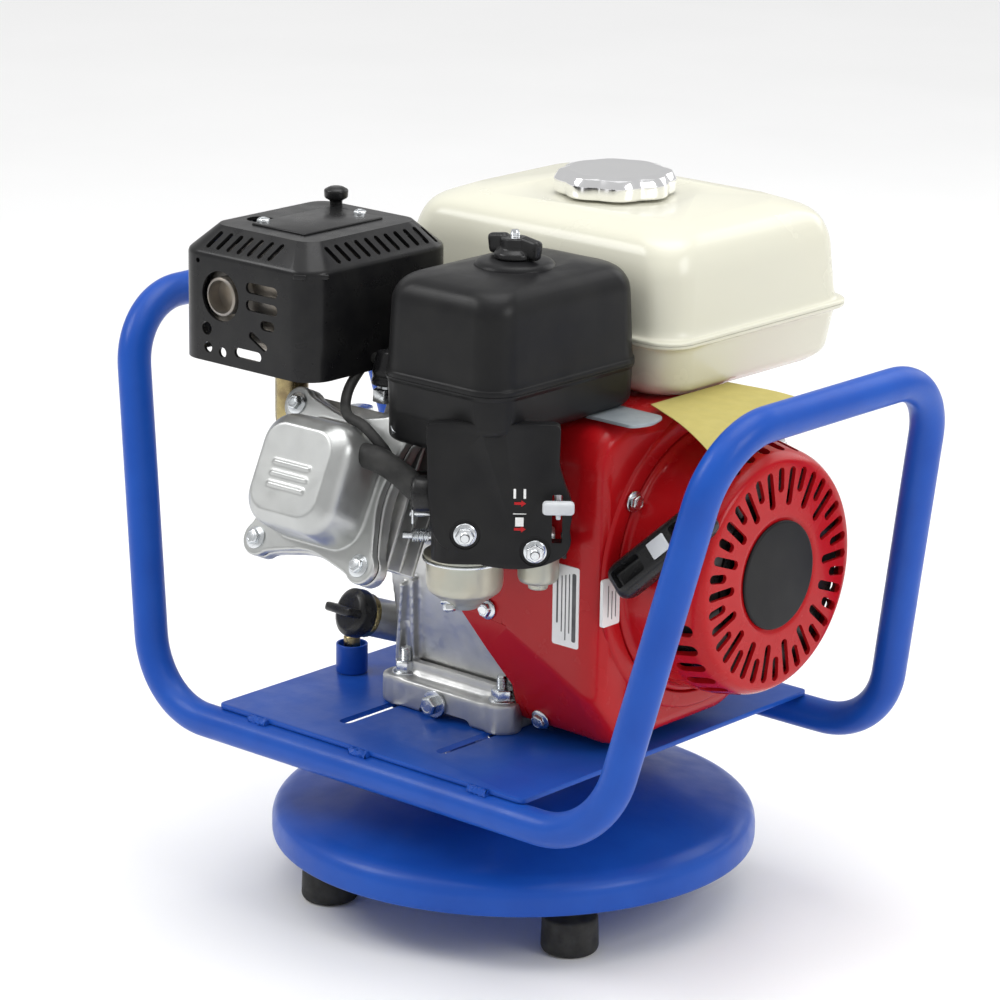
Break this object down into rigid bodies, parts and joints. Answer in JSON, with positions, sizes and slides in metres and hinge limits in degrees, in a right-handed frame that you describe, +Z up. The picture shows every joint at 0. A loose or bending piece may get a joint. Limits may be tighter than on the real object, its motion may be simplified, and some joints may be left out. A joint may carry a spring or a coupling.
{
  "type": "concrete vibrator",
  "caption": "Petrol power unit of a concrete vibrator: a small engine with a flexible shaft coupling, in a tube frame that swivels on a round dish base.",
  "frame": {"origin": "on the floor, at the middle of the bounding box", "axes": "+X along the crankshaft to the recoil starter, -X to the flexible shaft coupling, -Y to the cylinder head, +Y to the back of the fuel tank, +Z up"},
  "size_m": [0.5126, 0.3818, 0.4636],
  "materials": {
    "blue_paint": "satin paint",
    "rubber": "moulded",
    "steel": "zinc plated",
    "cast_aluminium": "as cast",
    "black_plastic": "satin",
    "black_rubber": "smooth",
    "black_enamel": "gloss enamel",
    "muffler_steel": "heat darkened",
    "exhaust_steel": "yellow plated",
    "grey_plastic": "satin",
    "zinc_bowl": "dull zinc",
    "foam": "open foam",
    "rope": "braided",
    "tank_ivory": "gloss enamel",
    "chrome": "bright",
    "cover_red": "gloss enamel"
  },
  "bodies": {
    "base": {"base_dish": "blue_paint", "rubber_foot_1": "rubber", "rubber_foot_2": "rubber", "rubber_foot_3": "rubber", "rubber_foot_4": "rubber", "swivel_bearing": "steel", "pivot_bolt": "steel", "pivot_nut": "steel"},
    "chassis": {"swivel_hub": "blue_paint", "mounting_plate": "blue_paint", "rail_head_side": "blue_paint", "rail_tank_side": "blue_paint", "handle_starter_end": "blue_paint", "handle_coupling_end": "blue_paint", "support_post": "blue_paint", "mount_bolt_1": "steel", "mount_bolt_2": "steel", "mount_bolt_3": "steel", "mount_bolt_4": "steel", "crankcase": "cast_aluminium", "oil_drain_plug": "steel", "side_cover": "cast_aluminium", "cylinder_head": "cast_aluminium", "valve_cover": "cast_aluminium", "spark_plug": "steel", "plug_cap": "black_plastic", "ignition_lead": "black_rubber", "exhaust_pipe": "exhaust_steel", "muffler": "muffler_steel", "muffler_guard": "black_enamel", "carburettor": "cast_aluminium", "float_bowl": "zinc_bowl", "sediment_cup": "zinc_bowl", "air_cleaner_base": "black_plastic", "air_filter_element": "foam", "air_cleaner_stud": "steel", "fuel_tank_upper": "tank_ivory", "fuel_tank_lower": "tank_ivory", "fan_cover": "cover_red", "recoil_housing": "cover_red", "piston": "cast_aluminium", "coupling_housing": "blue_paint", "breather_tube": "black_rubber"},
    "crank": {"crankshaft": "steel", "flywheel": "cast_aluminium", "coupling_hub": "steel"},
    "rod": {"connecting_rod": "steel"},
    "grip": {"starter_grip": "black_plastic", "starter_rope": "rope"},
    "reel": {"recoil_reel": "black_plastic"},
    "gasket": {"cap_gasket": "rubber"},
    "cap": {"fuel_cap": "chrome"},
    "cleaner_lid": {"air_cleaner_cover": "black_plastic"},
    "wing": {"wing_nut": "black_plastic"},
    "choke": {"choke_lever": "grey_plastic"},
    "fuel_valve": {"fuel_lever": "black_plastic"},
    "throttle": {"throttle_lever": "steel"},
    "switch": {"engine_switch": "black_plastic"},
    "oil_cap": {"oil_filler_cap": "black_plastic"},
    "lock_pin": {"coupling_lock_pin": "steel"}
  },
  "joints": [
    {"name": "base_swivel", "type": "hinge", "parent": "base", "child": "chassis", "pos_m": [0, 0.01393, 0.09], "axis": [0, 0, 1], "continuous": true},
    {"name": "crank_spin", "type": "hinge", "parent": "chassis", "child": "crank", "pos_m": [0, 0.04294, 0.243], "axis": [1, 0, 0], "continuous": true},
    {"name": "rod_swing", "type": "hinge", "parent": "crank", "child": "rod", "pos_m": [-0.008, 0.02254, 0.25251], "axis": [1, 0, 0], "continuous": true},
    {"name": "grip_pull", "type": "slide", "parent": "chassis", "child": "grip", "axis": [0.1399, -0.9293, 0.3417], "range_m": [0, 0.14], "stiffness_N_per_m": 40, "springref_m": -0.15},
    {"name": "reel_turn", "type": "hinge", "parent": "chassis", "child": "reel", "pos_m": [0.17, 0.04294, 0.243], "axis": [1, 0, 0], "range_deg": [0, 225]},
    {"name": "fuel_cap_lift", "type": "slide", "parent": "chassis", "child": "gasket", "axis": [0, 0, 1], "range_m": [0, 0.05]},
    {"name": "fuel_cap_turn", "type": "hinge", "parent": "gasket", "child": "cap", "pos_m": [0.003, 0.10093, 0.455], "axis": [0, 0, 1], "range_deg": [0, 90]},
    {"name": "air_cover_lift", "type": "slide", "parent": "chassis", "child": "cleaner_lid", "axis": [0, 0, 1], "range_m": [0, 0.08]},
    {"name": "wing_nut_turn", "type": "hinge", "parent": "cleaner_lid", "child": "wing", "pos_m": [0.0635, -0.06556, 0.44], "axis": [0, 0, 1], "continuous": true},
    {"name": "choke_swing", "type": "hinge", "parent": "chassis", "child": "choke", "pos_m": [0.11436, -0.08148, 0.304], "axis": [0.7547, 0.6561, 0], "range_deg": [0, 28]},
    {"name": "fuel_valve_swing", "type": "hinge", "parent": "chassis", "child": "fuel_valve", "pos_m": [0.10201, -0.06042, 0.27], "axis": [0.7547, 0.6561, 0], "range_deg": [0, 60]},
    {"name": "throttle_swing", "type": "hinge", "parent": "chassis", "child": "throttle", "pos_m": [0.075, -0.01807, 0.3447], "axis": [0, 0, 1], "range_deg": [-12, 18]},
    {"name": "switch_turn", "type": "hinge", "parent": "chassis", "child": "switch", "pos_m": [0.1283, -0.01606, 0.158], "axis": [1, 0, 0], "range_deg": [0, 60]},
    {"name": "oil_cap_turn", "type": "hinge", "parent": "chassis", "child": "oil_cap", "pos_m": [-0.08331, -0.04274, 0.17723], "axis": [-0.1895, -0.9177, 0.3491], "range_deg": [0, 180]},
    {"name": "lock_pin_pull", "type": "slide", "parent": "chassis", "child": "lock_pin", "axis": [0, 0, 1], "range_m": [0, 0.006], "stiffness_N_per_m": 600, "springref_m": -0.004}
  ],
  "couplings": [
    {"joint": "rod_swing", "follows": "crank_spin", "ratio": -1},
    {"joint": "reel_turn", "follows": "grip_pull", "rad_per_m": 27.78}
  ]
}
